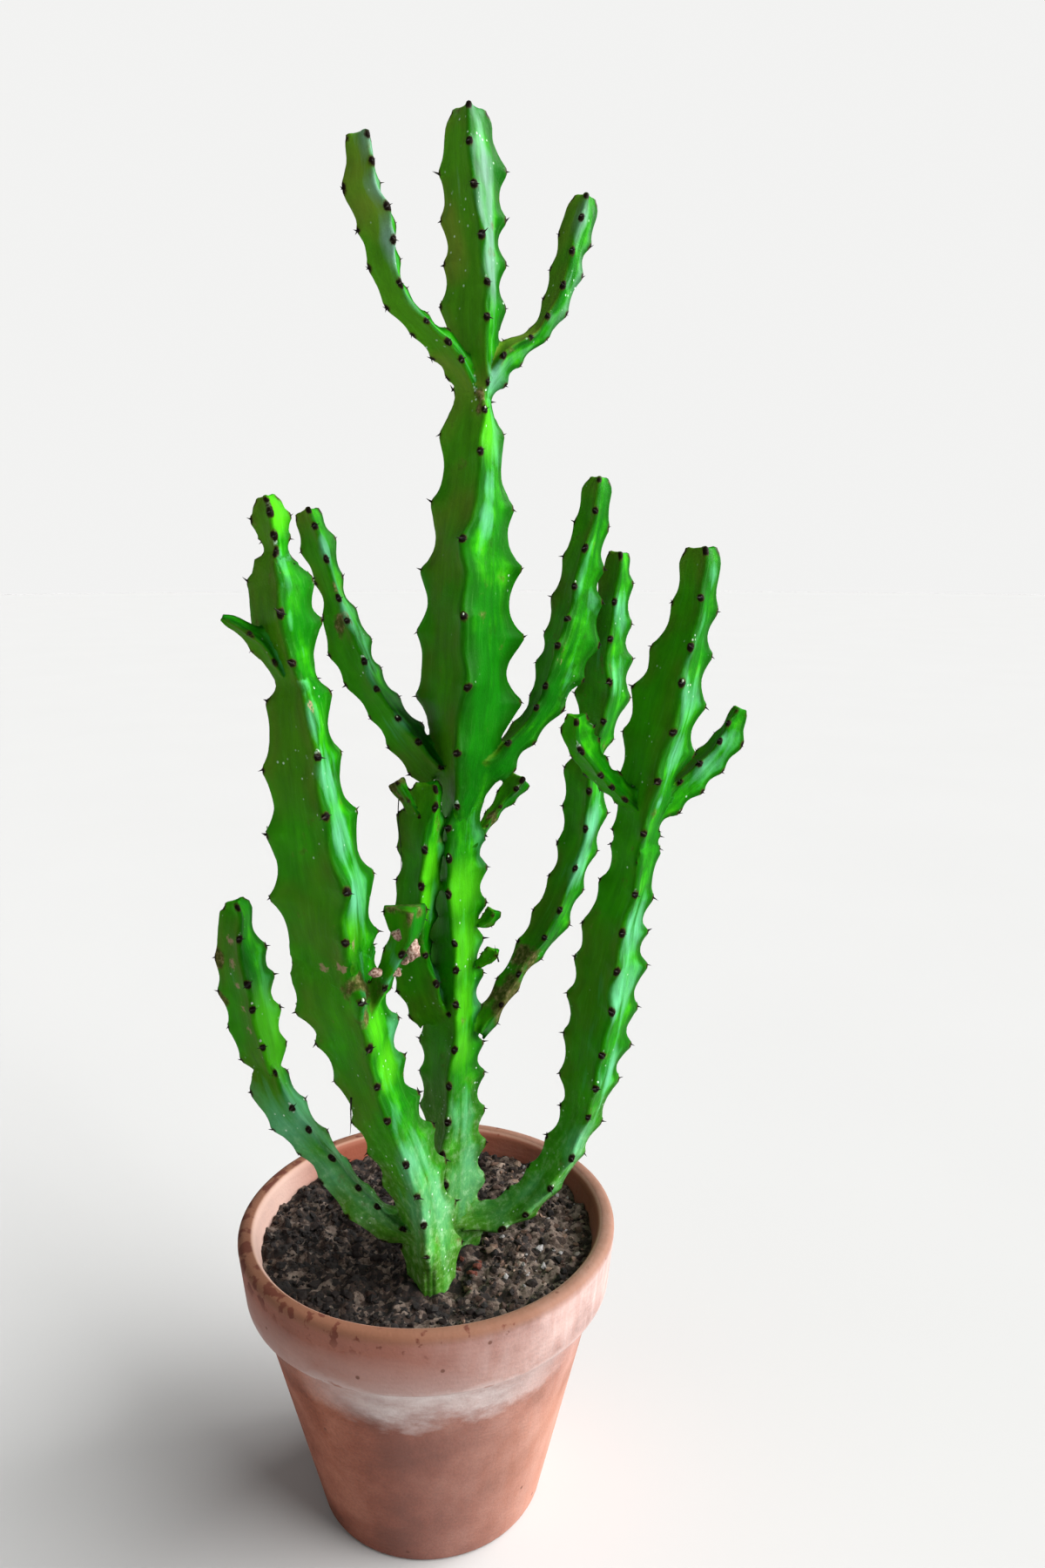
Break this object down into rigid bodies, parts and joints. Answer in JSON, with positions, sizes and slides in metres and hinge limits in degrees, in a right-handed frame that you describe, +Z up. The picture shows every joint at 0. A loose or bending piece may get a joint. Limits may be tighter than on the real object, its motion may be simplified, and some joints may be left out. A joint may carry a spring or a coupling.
{
  "type": "potted euphorbia",
  "caption": "Tall branching euphorbia with toothed, three-winged green stems and short dark spines, standing in soil in a terracotta flowerpot.",
  "frame": {"origin": "centre of the pot's flat underside", "axes": "+Z up the plant, -Y towards the front of the plant as it is seen in the picture, +X to the viewer's right"},
  "size_m": [0.2572, 0.193, 0.681],
  "materials": {
    "terracotta": "matte porous clay with a pale lime bloom",
    "potting_soil": "crumbly dark potting soil",
    "green_stem": "waxy green succulent skin with dark tooth tips"
  },
  "bodies": {
    "root": {"pot": "terracotta", "soil": "potting_soil", "trunk": "green_stem", "front_stem": "green_stem"}
  },
  "joints": []
}
